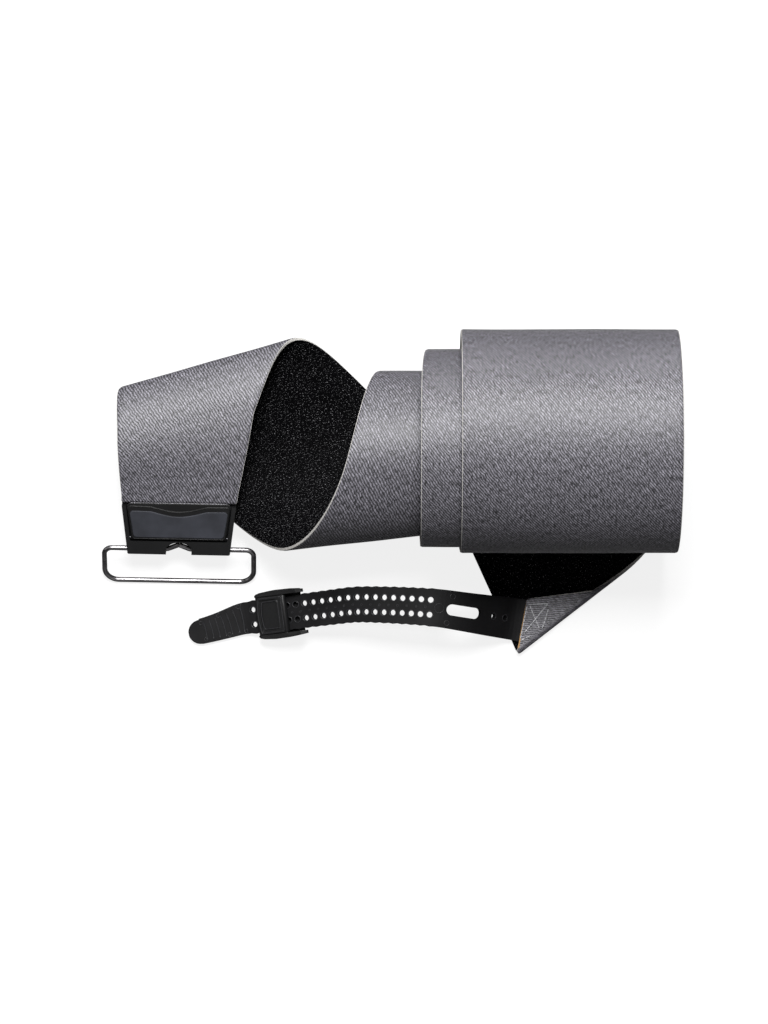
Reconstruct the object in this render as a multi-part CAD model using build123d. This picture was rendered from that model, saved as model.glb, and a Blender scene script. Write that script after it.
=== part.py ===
from build123d import *
from math import cos, hypot, pi, radians, sin, tan
import os

# Climbing skin, rolled for storage: a plush strip coiled three turns with its tip clip and tail strap out.
# Millimetres, +Z up, resting on z = 0. +X runs along the axis of the roll, +Y points to the back of it.

ORIGIN_SHIFT = (-1.85, 0.58, -0.1)   # puts the origin on the ground under the middle of the whole part

# ---- strip ----
STRIP_WIDTH = 135.0
PLUSH = 1.4                  # thickness of the plush fabric
ADHESIVE = 0.4               # thickness of the glue coat
BOND_GAP = 0.1               # each layer keeps this far from the bond line between the two
GROUND_BOND = 1.6            # height of the bond line where the strip lies on the ground
HALF_WIDTH = STRIP_WIDTH / 2
STEPS_PER_TURN = 30
COIL_TURNS = 3.5             # from the ground below the roll to the top of the loose loop

# ---- tail of the strip, folded over along a slanting line ----
FOLD_START = (85.5, -103.2)  # pointed front end of the fold, on the ground
FOLD_TURN = 37.7             # turn of the fold line from the roll's axis, degrees
FLAP_BOND = 5.7              # height of the bond line in the turned-over flap
FOLD_INSET = 3.6             # centre of the fold, in from its outer line
FLAP_REACH = 24.5            # how far the flap reaches back over the strip
FLAP_SLANT_LEFT = 1.12       # how fast the two cut edges of the flap spread towards the fold
FLAP_SLANT_RIGHT = 1.72
FLAP_CORNER = 25.6           # corner of the flap, measured along the fold
FLAP_END = 1.5               # length of the flap's end edge
FOLD_LEFT = 0.8              # left end of the fold, measured along it
FOLD_RIGHT = 114.0           # right end of the fold where it reaches the ground
FLAP_STEPS = 5
FOLD_STEPS = 8
TAIL_LEFT = ((71.0, -70.0), (57.4, -40.1), (48.5, -20.3), (48.0, 5.0))
TAIL_RIGHT = ((180.0, -14.0), (182.5, 2.0), (183.0, 15.0), (183.0, 26.0))

# ---- tip clip, in its own frame: X across, Y towards the roll, Z out of the lid, origin at its mouth ----
CLIP_MOUTH = (-129.5, -6.0)
CLIP_YAW = -1.1
CLIP_SLOPE = 18.0
TIP_CURVE = 93.0             # radius of the strip between the top of the loop and the straight slope
TIP_HALF_WIDTH = 36.0
POCKET_HALF_WIDTH = 30.0
POCKET_REACH = 17.0          # how far the strip reaches into the clip

CLIP_BACK_HALF = 36.3        # the clip's plan is a trapezium
CLIP_FRONT_HALF = 32.4
CLIP_DEPTH = 33.4
BASE_BOTTOM = -3.4
BASE_FLOOR = -0.8            # top of the plate below the strip
BASE_TOP = 4.4
FRONT_BLOCK = -24.8          # the solid front of the base starts here
RAIL = 2.7                   # thickness of the side rails
NOTCH_HALF = 8.1             # window that shows the bail wire in the middle of the front
NOTCH_TOP = -25.4
NOTCH_SHOULDER = -29.0       # the window's arch starts here
MOUTH_STEP = -1.5            # the side rails stop this far in from the mouth
BASE_CORNER = 1.0
LID_FIT = 0.65               # gap between the lid and the rails
LID_BACK = -0.7
LID_BOTTOM = 2.5
LID_TOP = 5.4
LID_AXIS = (-22.4, 3.5)      # y and z of the lid hinge
LID_HUB = 1.5
LID_DIP_HALVES = (19.0, 12.5)    # half widths of the finger notch, at the edge and at its bottom
LID_DIP = 3.4                # depth of the finger notch
LID_LIP = 3.9                # the lid's lower half runs on behind the notch, up to this height
LID_RIM = (2.2, 2.4, 4.6)    # rim round the sunken panel: sides, front, back
LID_SINK = 0.5
LID_PIN = 0.6                # radius
LID_PIN_HALF = 32.8          # half length
LID_BORE_HALF = 33.1
RIVET_X = (-18.0, 0.0, 18.0)
RIVET_Y = -10.0
RIVET_SHANK = 1.5
RIVET_HEAD = 2.8
RIVET_HEAD_HEIGHT = 0.6
PIN_FIT = 0.05               # clearance round a pin in the part that holds it
SWING_FIT = 0.15             # clearance round a pin in the part that turns

# ---- bail ----
WIRE = 1.6                   # radius
BAIL_AXIS = (-30.8, 0.3)     # y and z of the bail hinge in the clip's frame
BAIL_HALF = 47.4             # centre line, half across
BAIL_REACH = 26.0            # centre line, hinge bar to front bar
BAIL_BACK_CORNER = 5.0
BAIL_FRONT_CORNER = 9.0
BAIL_BUMP = 3.4
BAIL_BUMP_HALF = 7.0
BAIL_BUMP_CORNER = 3.0
BAIL_DROOP = 20.6            # the bail hangs this much further down than the clip slopes, degrees
BAIL_CLEARANCE = 0.4

# ---- strap: (length along it, value) stations from its sewn end ----
STRAP_START = (106.0, -84.0)
STRAP_LENGTH = 248.7
STRAP_HALF_THICK = 1.4
STRAP_MIDDLE = (GROUND_BOND + FLAP_BOND) / 2
STRAP_HEADING = ((0, 9), (18, 9), (70, 9.5), (92, 4), (112, 2), (128, 0.5), (146, -7.6), (208, -7.6),
                 (218, -19), (230, -17), (248.7, -9))
STRAP_SLOPE = ((0, 0), (18, 0), (33, 42.0), (51.8, 42.0), (88.5, 0), (138, -18.6), (206, -18.6), (218, 0),
               (248.7, 0))
STRAP_HALF_WIDTH = ((0, 13.6), (20, 13.4), (86, 11.9), (165, 10.9), (204, 10.5), (214, 10.0), (230, 8.7),
                    (248.7, 7.7))
STRAP_ROUND = 7.7            # radius of the free end
TAB_INSET = 4.4              # the sewn tab stays this far inside the fold's outer line
HOLE_PITCH = 5.85
HOLE_PAIRS = 21
FIRST_PAIR = 86.5
HOLE_RADIUS = 1.75
HOLE_SPREAD = 4.7            # each hole of a pair is this far from the middle
SCALLOP = 0.25
SINGLE_HOLES = (31.5, 41.5)
SLOT_START = 52.5
SLOT_END = 78.0
SLOT_HALF = 3.5

# ---- tail buckle, in its own frame: X up the strap towards the roll, Z away from it ----
BUCKLE_AT = 202.0            # left end of the buckle, along the strap
BUCKLE_LENGTH = 33.0
BUCKLE_INNER_HALF = 12.2
# half width of the buckle, from the free end to the noses
BUCKLE_PLAN = ((0.0, 13.0), (1.2, 14.0), (4.0, 14.8), (12.0, 15.5), (22.0, 15.3), (33.0, 14.2))
BUCKLE_BOTTOM = -3.3
BUCKLE_FLOOR = -1.75
BUCKLE_FLOOR_LENGTH = 29.0
BUCKLE_NOSE_RISE = 2.6       # underside of the hook noses
BUCKLE_WALL_FOOT = 0.6       # the floor's end wall turns up to the noses from here
# top edge of the buckle's walls, from the noses to the free end
BUCKLE_SIDE = ((33.0, 5.2), (29.0, 6.6), (19.0, 6.6), (8.0, 6.0), (1.5, 5.2), (0.0, 4.2))
BRIDGE = (0.0, 2.6, 1.8, 2.7)    # bar over the strap at the free end: x from, x to, z from, z to
LEVER_AXIS = (19.0, 3.9)
LEVER_HUB = 2.1
LEVER_PIN = 1.1
LEVER_PIN_HALF = 14.6
LEVER_LEFT = 1.0
LEVER_HALF = 11.8
LEVER_BOTTOM = 3.05
LEVER_TOP = 5.9
LEVER_RECESS = 0.7
LEVER_BOW = 1.2              # the free end bows out this much in the middle
LEVER_RIM = (2.5, 4.5, 2.0)  # rim round the recess: free end, pin end, sides

# ---- stitching, measured on the flap as (distance along the fold, reach back from it) ----
STITCHES = (((25.0, 21.5), (35.0, 14.5)), ((35.0, 14.5), (12.0, 9.0)), ((25.0, 20.5), (21.0, 5.5)),
            ((33.0, 11.5), (22.5, 4.2)), ((23.0, 21.0), (7.5, 7.5)), ((7.5, 6.4), (14.5, 5.0)))
THREAD_HALF = 0.3

# ---- shape of the coil: (turn, value) stations, joined by smooth curves ----
# Turn 0 is at the bottom, 0.25 at the back, 0.5 at the top and 0.75 at the front of the roll.
CENTRE_X = ((0, 115.5), (0.75, 115.0), (1.4, 90.5), (1.8, 90.0), (2.25, 66.0), (2.5, 48.0), (2.75, 8.0),
            (3, -58.0), (3.25, -99.0), (3.5, -125.0))
CENTRE_Y = ((0, 33.3), (0.75, 31.5), (1.25, 28.5), (1.75, 26.6), (2.25, 24.6), (2.75, 23.5), (3, 34.0),
            (3.25, 45.6), (3.5, 41.2))
DEPTH = ((0, 67.6), (0.75, 67.6), (1.25, 59.6), (1.75, 59.1), (2.25, 50.2), (2.75, 50.2), (3, 45.0),
         (3.25, 37.4), (3.5, 38.0))
HEIGHT = ((0, 67.8), (0.75, 67.0), (1.25, 60.0), (1.75, 58.0), (2.25, 50.5), (2.75, 43.5), (3, 29.5),
          (3.25, 18.3), (3.5, 18.0))
BOTTOM = ((0, GROUND_BOND), (1, 5.4), (2, 11.0), (2.75, 12.5), (3, 10.4), (3.25, 2.5), (3.5, 1.8))
LEAN = ((0, 0), (2.25, 0), (2.5, 3.0), (2.75, 6.5), (3, 11.0), (3.25, 15.8), (3.5, 12.0))
SIDE_TILT = ((0, 0), (2.5, 0), (3, 5.0), (3.25, 1.0), (3.5, 0))
LEFT = ((0, HALF_WIDTH), (2, HALF_WIDTH), (2.25, 69.5), (2.5, 71.0), (2.75, 77.0), (3, 76.0), (3.25, 58.0),
        (3.5, 44.0))
RIGHT = ((0, HALF_WIDTH), (2, HALF_WIDTH), (2.25, 69.5), (2.5, 71.0), (2.75, 78.0), (3, 66.0), (3.12, 60.0),
         (3.25, 57.5), (3.5, 44.0))


def along(track, turn):
    """Value of a track at this turn: a smooth curve that never overshoots its stations."""
    slopes = [(b[1] - a[1]) / (b[0] - a[0]) for a, b in zip(track, track[1:])]
    tangents = [slopes[0]]
    for before, after in zip(slopes, slopes[1:]):
        same_way = before * after > 0
        tangents.append(2 * before * after / (before + after) if same_way else 0.0)
    tangents.append(slopes[-1])
    i = 0
    while i < len(slopes) - 1 and turn > track[i + 1][0]:
        i += 1
    (start, low), (end, high) = track[i], track[i + 1]
    step = end - start
    u = (turn - start) / step
    rise = 3 * u ** 2 - 2 * u ** 3
    leave = (u ** 3 - 2 * u ** 2 + u) * step * tangents[i]
    arrive = (u ** 3 - u ** 2) * step * tangents[i + 1]
    return low + rise * (high - low) + leave + arrive


def coil_ruling(turn):
    """Left and right ends of the straight line across the strip at this turn."""
    lean = radians(along(LEAN, turn))
    tilt = radians(along(SIDE_TILT, turn))
    across = Vector(cos(lean), sin(lean), tan(tilt))
    backward = Vector(-sin(lean), cos(lean), 0)
    angle = 2 * pi * turn
    height = along(HEIGHT, turn)
    middle = Vector(along(CENTRE_X, turn), along(CENTRE_Y, turn), along(BOTTOM, turn) + height)
    middle += backward * (along(DEPTH, turn) * sin(angle)) - Vector(0, 0, height * cos(angle))
    return middle - across * along(LEFT, turn), middle + across * along(RIGHT, turn)


def flap_point(reach, distance, height):
    """Point given by its distance along the tail's fold line and its reach back from it."""
    turn = radians(FOLD_TURN)
    x = FOLD_START[0] + distance * cos(turn) - reach * sin(turn)
    y = FOLD_START[1] + distance * sin(turn) + reach * cos(turn)
    return Vector(x, y, height)


def tail_rulings():
    """Flap, fold and the stretch that runs under the roll, from the tail end inwards."""
    rulings = []
    for step in range(FLAP_STEPS + 1):
        reach = FLAP_REACH + (FOLD_INSET - FLAP_REACH) * step / FLAP_STEPS
        left = max(FLAP_CORNER - FLAP_SLANT_LEFT * (FLAP_REACH - reach), FOLD_LEFT)
        right = FLAP_CORNER + FLAP_END + FLAP_SLANT_RIGHT * (FLAP_REACH - reach)
        rulings.append((flap_point(reach, left, FLAP_BOND), flap_point(reach, right, FLAP_BOND)))
    last_right = FLAP_CORNER + FLAP_END + FLAP_SLANT_RIGHT * (FLAP_REACH - FOLD_INSET)
    radius = (FLAP_BOND - GROUND_BOND) / 2
    for step in range(1, FOLD_STEPS + 1):
        angle = pi * step / FOLD_STEPS
        reach = FOLD_INSET - radius * sin(angle)
        height = GROUND_BOND + radius * (1 + cos(angle))
        right = last_right + (FOLD_RIGHT - last_right) * step / FOLD_STEPS
        rulings.append((flap_point(reach, FOLD_LEFT, height), flap_point(reach, right, height)))
    for left, right in zip(TAIL_LEFT, TAIL_RIGHT):
        rulings.append((Vector(*left, GROUND_BOND), Vector(*right, GROUND_BOND)))
    return rulings


def loop_top():
    """Middle of the strip at the top of the loose loop."""
    left, right = coil_ruling(COIL_TURNS)
    return (left + right) * 0.5


def tip_height(distance):
    """Height of the bond line this far from the top of the loop: a bend, then a straight slope."""
    slope = tan(radians(CLIP_SLOPE))
    curved = min(distance, TIP_CURVE * slope)
    return loop_top().Z - curved ** 2 / (2 * TIP_CURVE) - (distance - curved) * slope


def clip_frame():
    """Frame of the tip clip, sloping down towards the front."""
    top = loop_top()
    mouth_height = tip_height(hypot(CLIP_MOUTH[0] - top.X, CLIP_MOUTH[1] - top.Y))
    yaw = radians(CLIP_YAW)
    slope = radians(CLIP_SLOPE)
    across = Vector(cos(yaw), sin(yaw), 0)
    up = Vector(sin(yaw) * sin(slope), -cos(yaw) * sin(slope), cos(slope))
    return Plane(origin=(*CLIP_MOUTH, mouth_height), x_dir=across, z_dir=up)


def tip_rulings():
    """From the top of the loose loop down into the pocket of the clip."""
    top = loop_top()
    frame = clip_frame()
    mouth = Vector(*frame.origin)
    run = hypot(mouth.X - top.X, mouth.Y - top.Y)
    lean_start = along(LEAN, COIL_TURNS)
    half_start = along(LEFT, COIL_TURNS)
    rulings = []
    for step in range(1, 11):
        share = step / 10
        lean = radians(lean_start + (CLIP_YAW - lean_start) * share)
        half = half_start + (TIP_HALF_WIDTH - half_start) * share
        across = Vector(cos(lean), sin(lean), 0) * half
        middle = top + (mouth - top) * share
        middle = Vector(middle.X, middle.Y, tip_height(run * share))
        rulings.append((middle - across, middle + across))
    for reach, half in ((1.2, POCKET_HALF_WIDTH), (POCKET_REACH, POCKET_HALF_WIDTH)):
        middle = mouth - frame.y_dir * reach
        rulings.append((middle - frame.x_dir * half, middle + frame.x_dir * half))
    return rulings


def strip_rulings():
    """Straight lines across the whole strip, from the tail end to the tip."""
    count = round(COIL_TURNS * STEPS_PER_TURN)
    coil = [coil_ruling(step / STEPS_PER_TURN) for step in range(count + 1)]
    return tail_rulings() + coil + tip_rulings()


# ---- solids ----
def export(name, shape):
    """Write one named piece."""
    export_step(Pos(*ORIGIN_SHIFT) * shape, f"parts/{name}.step")


def layer(rulings, near, far):
    """Closed ribbon that lies between two distances outwards from the bond line."""
    middles = [(left + right) * 0.5 for left, right in rulings]
    sections = []
    for i, (left, right) in enumerate(rulings):
        travel = middles[min(i + 1, len(middles) - 1)] - middles[max(i - 1, 0)]
        outward = travel.cross(right - left).normalized()
        low, high = outward * near, outward * far
        corners = [left + low, right + low, right + high, left + high]
        sections.append(Wire.make_polygon(corners, close=True))
    return Solid.make_loft(sections, ruled=True)


def box(x_range, y_range, z_range):
    """Box from its lowest and highest values along each axis."""
    size = [high - low for low, high in (x_range, y_range, z_range)]
    middle = tuple((low + high) / 2 for low, high in (x_range, y_range, z_range))
    return Pos(*middle) * Box(*size)


def rod_x(y, z, radius, half_length):
    """Round bar along X."""
    return Pos(0, y, z) * Rot(0, 90, 0) * Cylinder(radius, 2 * half_length)


def rod_y(x, z, radius, half_length):
    """Round bar along Y."""
    return Pos(x, 0, z) * Rot(90, 0, 0) * Cylinder(radius, 2 * half_length)


def prism(outline, low, high):
    """Plan outline raised from one height to another."""
    return Pos(0, 0, low) * extrude(make_face(Polyline(*outline, close=True)), high - low)


def rivet_bores(radius, frame):
    """Bores for the three tip rivets, in the clip's place."""
    length = 2 * (BASE_TOP - BASE_BOTTOM)
    return [frame.location * Pos(x, RIVET_Y, 0) * Cylinder(radius, length) for x in RIVET_X]


def between_rails(gap, front, back):
    """Plan of the space between the side rails, less a gap at each side."""
    slant = (CLIP_BACK_HALF - CLIP_FRONT_HALF) / CLIP_DEPTH
    wide, narrow = (CLIP_BACK_HALF - RAIL - gap + slant * y for y in (back, front))
    return [(-narrow, front), (-wide, back), (wide, back), (narrow, front)]


def clip_base():
    """Moulded base: plate, side rails and the front block that holds the bail."""
    trapezium = [(-CLIP_BACK_HALF, 0), (-CLIP_FRONT_HALF, -CLIP_DEPTH), (CLIP_FRONT_HALF, -CLIP_DEPTH),
                 (CLIP_BACK_HALF, 0)]
    body = prism(trapezium, BASE_BOTTOM, BASE_TOP)
    upright = [edge for edge in body.edges().filter_by(Axis.Z) if edge.center().Y < -1]
    body = fillet(upright, BASE_CORNER)
    body -= prism(between_rails(0, FRONT_BLOCK, 1), BASE_FLOOR, BASE_TOP + 1)
    body -= box((-CLIP_BACK_HALF - 1, CLIP_BACK_HALF + 1), (MOUTH_STEP, 1), (BASE_FLOOR, BASE_TOP + 1))
    through = (BASE_BOTTOM - 1, BASE_TOP + 1)
    notch = box((-NOTCH_HALF, NOTCH_HALF), (-CLIP_DEPTH - 1, NOTCH_SHOULDER), through)
    foot = NOTCH_SHOULDER - 0.1
    arch = ThreePointArc((-NOTCH_HALF, foot), (0, NOTCH_TOP), (NOTCH_HALF, foot))
    window = make_face([*arch.edges(), *Polyline((-NOTCH_HALF, foot), (NOTCH_HALF, foot)).edges()])
    body -= notch + Pos(0, 0, through[0]) * extrude(window, through[1] - through[0])
    body -= rod_x(*BAIL_AXIS, WIRE + BAIL_CLEARANCE, CLIP_BACK_HALF + 5)
    body -= rod_x(*LID_AXIS, LID_PIN + PIN_FIT, LID_BORE_HALF)
    for x in RIVET_X:
        body -= Pos(x, RIVET_Y, 0) * Cylinder(RIVET_SHANK + PIN_FIT, 20)
        recess = (BASE_BOTTOM - 1, BASE_BOTTOM + RIVET_HEAD_HEIGHT)
        body -= Pos(x, RIVET_Y, sum(recess) / 2) * Cylinder(RIVET_HEAD + PIN_FIT, recess[1] - recess[0])
    return body


def clip_lid():
    """Clamp lid with its hub along the front and a finger notch over its back edge."""
    y, z = LID_AXIS
    outline = between_rails(LID_FIT, y, LID_BACK)
    hub_half = outline[-1][0]
    lid = prism(outline, LID_BOTTOM, LID_TOP) + rod_x(y, z, LID_HUB, hub_half)
    wide, narrow = LID_DIP_HALVES
    dip = [(-wide, LID_BACK), (-narrow, LID_BACK - LID_DIP), (narrow, LID_BACK - LID_DIP),
           (wide, LID_BACK), (wide, LID_BACK + 1), (-wide, LID_BACK + 1)]
    lid -= prism(dip, LID_LIP, LID_TOP + 1)
    side, front, back = LID_RIM
    panel_half = hub_half - side
    lid -= box((-panel_half, panel_half), (y + front, LID_BACK - back), (LID_TOP - LID_SINK, LID_TOP + 1))
    return lid - rod_x(y, z, LID_PIN + SWING_FIT, hub_half + 1)


def post(low, high, radius):
    """Upright round bar between two heights."""
    return Pos(0, 0, (low + high) / 2) * Cylinder(radius, high - low)


def rivets():
    """Three rivets through the end of the strip and the base plate."""
    shank_top = BOND_GAP + PLUSH + 0.05
    solids = []
    for x in RIVET_X:
        shank = post(BASE_BOTTOM, shank_top, RIVET_SHANK)
        low_head = post(BASE_BOTTOM, BASE_BOTTOM + RIVET_HEAD_HEIGHT, RIVET_HEAD)
        high_head = post(shank_top, shank_top + RIVET_HEAD_HEIGHT, RIVET_HEAD)
        solids.append(Pos(x, RIVET_Y, 0) * (shank + low_head + high_head))
    return solids


def bail():
    """Wire loop with a raised middle in its hinge bar, lying flat with the hinge bar along X at y = 0."""
    right = FilletPolyline((0, BAIL_BUMP), (BAIL_BUMP_HALF, 0), (BAIL_HALF, 0), (BAIL_HALF, -BAIL_REACH),
                           (0, -BAIL_REACH), radius=[BAIL_BUMP_CORNER, BAIL_BACK_CORNER, BAIL_FRONT_CORNER])
    start = Plane(origin=right @ 0, z_dir=right % 0)
    half = sweep(start * Circle(WIRE), path=right)
    half -= box((-10, 0), (-60, 60), (-10, 10))
    return half + mirror(half, Plane.YZ)


def strap_stations():
    """Points down the middle of the strap with their side and upward directions."""
    step = HOLE_PITCH / 2
    count = int(STRAP_LENGTH / step)
    point = Vector(*STRAP_START, STRAP_MIDDLE)
    stations = []
    for i in range(count + 1):
        at = i * step
        heading = radians(along(STRAP_HEADING, min(at + step / 2, STRAP_LENGTH)))
        slope = radians(along(STRAP_SLOPE, min(at + step / 2, STRAP_LENGTH)))
        forward = Vector(-cos(heading) * cos(slope), sin(heading) * cos(slope), sin(slope))
        side = Vector(sin(heading), cos(heading), 0)
        stations.append((at, point, forward, side, side.cross(forward)))
        point = point + forward * step
    return stations


def strap_frame(at):
    """Frame on the strap: X back towards its sewn end, Z away from it."""
    stations = strap_stations()
    place, point, forward, side, up = max((s for s in stations if s[0] <= at), key=lambda s: s[0])
    return Plane(origin=point + forward * (at - place), x_dir=forward * -1, z_dir=up)


def tail_strap():
    """Moulded ladder strap: sewn tab, single holes, slot, ladder of hole pairs and rounded free end."""
    sections = []
    last_pair = FIRST_PAIR + HOLE_PITCH * HOLE_PAIRS
    stations = strap_stations()
    for i, (at, point, forward, side, up) in enumerate(stations):
        half = along(STRAP_HALF_WIDTH, at)
        if FIRST_PAIR < at < last_pair:
            half += SCALLOP * (-1) ** i
        if i == 0:
            up_mean = up
        else:
            up_mean = (up + stations[i - 1][4]).normalized()
        across = side * half
        rise = up_mean * STRAP_HALF_THICK
        low, high = point - rise, point + rise
        corners = [low - across, low + across, high + across, high - across]
        sections.append(Wire.make_polygon(corners, close=True))
    strap = Part() + Solid.make_loft(sections, ruled=True)
    cutters = []
    for pair in range(HOLE_PAIRS):
        frame = strap_frame(FIRST_PAIR + HOLE_PITCH * (pair + 0.25))
        for side in (-HOLE_SPREAD, HOLE_SPREAD):
            cutters.append(frame.location * Pos(0, side, 0) * Cylinder(HOLE_RADIUS, 12))
    for at in SINGLE_HOLES:
        cutters.append(strap_frame(at).location * Cylinder(HOLE_RADIUS, 12))
    slot_middle = (SLOT_START + SLOT_END) / 2
    slot = extrude(SlotOverall(SLOT_END - SLOT_START, 2 * SLOT_HALF), 20, both=True)
    cutters.append(strap_frame(slot_middle).location * slot)
    end = strap_frame(STRAP_LENGTH).location
    corners = box((-5, STRAP_ROUND), (-20, 20), (-5, 5))
    cutters.append(end * (corners - Pos(STRAP_ROUND, 0, 0) * Cylinder(STRAP_ROUND, 12)))
    strap -= cutters
    turn = Rot(0, 0, FOLD_TURN)
    return strap - Pos(*FOLD_START, 0) * turn * box((-60, 120), (-60, TAB_INSET), (-5, 20))


def buckle_frame():
    """Moulded channel with flared walls that end in hook noses."""
    length = BUCKLE_LENGTH
    plan = [(x, -half) for x, half in BUCKLE_PLAN] + [(x, half) for x, half in reversed(BUCKLE_PLAN)]
    block = prism(plan, BUCKLE_BOTTOM, 8)
    floor_end = BUCKLE_FLOOR_LENGTH
    profile = [(0, BUCKLE_BOTTOM), (floor_end, BUCKLE_BOTTOM), (floor_end, BUCKLE_WALL_FOOT),
               (length, BUCKLE_NOSE_RISE), *BUCKLE_SIDE]
    side_view = Plane.XZ * make_face(Polyline(*profile, close=True))
    block &= extrude(side_view, 40, both=True)
    channel = box((-1, length + 1), (-BUCKLE_INNER_HALF, BUCKLE_INNER_HALF), (BUCKLE_FLOOR, 12))
    block -= channel
    x0, x1, z0, z1 = BRIDGE
    block += box((x0, x1), (-BUCKLE_INNER_HALF - 0.5, BUCKLE_INNER_HALF + 0.5), (z0, z1))
    return block - rod_y(*LEVER_AXIS, LEVER_PIN + PIN_FIT, 30)


def buckle_lever():
    """Lever plate with its round cam about the pin."""
    x, z = LEVER_AXIS
    corner = LEVER_LEFT + LEVER_BOW
    bow = ThreePointArc((corner, LEVER_HALF), (LEVER_LEFT, 0), (corner, -LEVER_HALF))
    sides = Polyline((corner, -LEVER_HALF), (x, -LEVER_HALF), (x, LEVER_HALF), (corner, LEVER_HALF))
    outline = make_face([*bow.edges(), *sides.edges()])
    plate = Pos(0, 0, LEVER_BOTTOM) * extrude(outline, LEVER_TOP - LEVER_BOTTOM)
    lever = plate + rod_y(x, z, LEVER_HUB, LEVER_HALF)
    free_end, pin_end, side = LEVER_RIM
    lever -= box((LEVER_LEFT + free_end, x - pin_end), (-LEVER_HALF + side, LEVER_HALF - side),
                 (LEVER_TOP - LEVER_RECESS, LEVER_TOP + 1))
    return lever - rod_y(x, z, LEVER_PIN + SWING_FIT, LEVER_HALF + 1)


def stitching():
    """Sewn threads that lie on the plush of the flap."""
    low = FLAP_BOND + BOND_GAP + PLUSH + 0.05
    threads = []
    for (start_along, start_reach), (end_along, end_reach) in STITCHES:
        start = flap_point(start_reach, start_along, low)
        end = flap_point(end_reach, end_along, low)
        side = (end - start).normalized().cross(Vector(0, 0, 1)) * THREAD_HALF
        outline = [start - side, end - side, end + side, start + side]
        face = Face(Wire.make_polygon(outline, close=True))
        threads.append(Solid.extrude(face, Vector(0, 0, 2 * THREAD_HALF)))
    return threads


def main():
    os.makedirs("parts", exist_ok=True)
    rulings = strip_rulings()
    clip = clip_frame()
    bores = rivet_bores(RIVET_SHANK + PIN_FIT, clip)
    plush = Part() + layer(rulings, BOND_GAP, BOND_GAP + PLUSH)
    glue = Part() + layer(rulings, -BOND_GAP - ADHESIVE, -BOND_GAP)
    export("skin_plush", plush - bores)
    export("adhesive_coat", glue - bores)
    export("clip_base", clip.location * clip_base())
    export("clip_lid", clip.location * clip_lid())
    export("lid_pin", clip.location * rod_x(*LID_AXIS, LID_PIN, LID_PIN_HALF))
    export("tip_rivets", Compound([clip.location * rivet for rivet in rivets()]))
    export("bail_wire", clip.location * Pos(0, *BAIL_AXIS) * Rot(BAIL_DROOP, 0, 0) * bail())
    export("tail_strap", tail_strap())
    export("strap_stitching", Compound(stitching()))
    buckle = strap_frame(BUCKLE_AT).location
    export("buckle_frame", buckle * buckle_frame())
    export("buckle_lever", buckle * buckle_lever())
    export("lever_pin", buckle * rod_y(*LEVER_AXIS, LEVER_PIN, LEVER_PIN_HALF))


main()
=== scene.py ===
import bpy
from math import cos, hypot, pi, radians, sin, tan
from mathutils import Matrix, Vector, noise


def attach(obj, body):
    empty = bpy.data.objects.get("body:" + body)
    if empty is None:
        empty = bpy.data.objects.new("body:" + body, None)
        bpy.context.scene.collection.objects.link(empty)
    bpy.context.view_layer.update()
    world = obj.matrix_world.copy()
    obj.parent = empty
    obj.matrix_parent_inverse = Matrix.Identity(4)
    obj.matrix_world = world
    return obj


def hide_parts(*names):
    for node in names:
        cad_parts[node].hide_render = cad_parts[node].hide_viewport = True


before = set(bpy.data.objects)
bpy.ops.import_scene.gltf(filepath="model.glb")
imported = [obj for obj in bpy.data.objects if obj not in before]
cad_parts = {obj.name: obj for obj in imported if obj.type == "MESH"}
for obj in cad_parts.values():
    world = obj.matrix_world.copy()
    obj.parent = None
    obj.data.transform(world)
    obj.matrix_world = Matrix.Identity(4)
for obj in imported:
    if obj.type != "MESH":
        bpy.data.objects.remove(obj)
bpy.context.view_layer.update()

# Lengths are millimetres in the part's own layout, and place() turns them into metres in the row frame.
# The stage, the bevels and the bumps are set in metres.
ORIGIN_SHIFT = Vector((-1.85, 0.58, -0.1))

# ---- strip: the same driving sizes as the CAD ribbon ----
STRIP_WIDTH = 135.0
HALF_WIDTH = STRIP_WIDTH / 2
GROUND_BOND = 1.6            # height of the bond line where the strip lies on the ground
STEPS_PER_TURN = 30
COIL_TURNS = 3.5
FINER = 3                    # rulings made from each CAD ruling
ACROSS = 30                  # faces across the strip
ROW = 2 * (ACROSS + 1)       # points on each ruling, outer face and inner face
FLAP_BAND = 3                # faces that show the cut edge along each side of the flap
PLUSH_OUT = 1.5              # outer face, from the bond line
GLUE_IN = 0.5                # inner face, from the bond line
EDGE_ROUND = 0.5             # the pile rounds off by this much at the cut edges
EDGE_BAND = 1.6              # width of that rounding
RIPPLE = 0.32                # soft unevenness of the fabric
RIPPLE_SIZE = 38.0           # distance over which it changes
RIPPLE_SHIFT = Vector((0, 0, 5))
RIPPLE_FROM_TAIL = 40        # rulings over which it grows from the tail end
RIPPLE_TO_TIP = 30           # rulings over which it dies out towards the tip
GROUND = 0.1                 # nothing of the strip goes below this height
PLUSH, GLUE, CUT_EDGE, END_EDGE = range(4)

# ---- tail of the strip, folded over along a slanting line ----
FOLD_START = (85.5, -103.2)
FOLD_TURN = radians(37.7)
FLAP_BOND = 5.7
FOLD_INSET = 3.6
FLAP_REACH = 24.5
FLAP_SLANT_LEFT = 1.12
FLAP_SLANT_RIGHT = 1.72
FLAP_CORNER = 25.6
FLAP_END = 1.5
FOLD_LEFT = 0.8
FOLD_RIGHT = 114.0
FLAP_STEPS = 5
FOLD_STEPS = 8
TAIL_LEFT = ((71.0, -70.0), (57.4, -40.1), (48.5, -20.3), (48.0, 5.0))
TAIL_RIGHT = ((180.0, -14.0), (182.5, 2.0), (183.0, 15.0), (183.0, 26.0))

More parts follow.
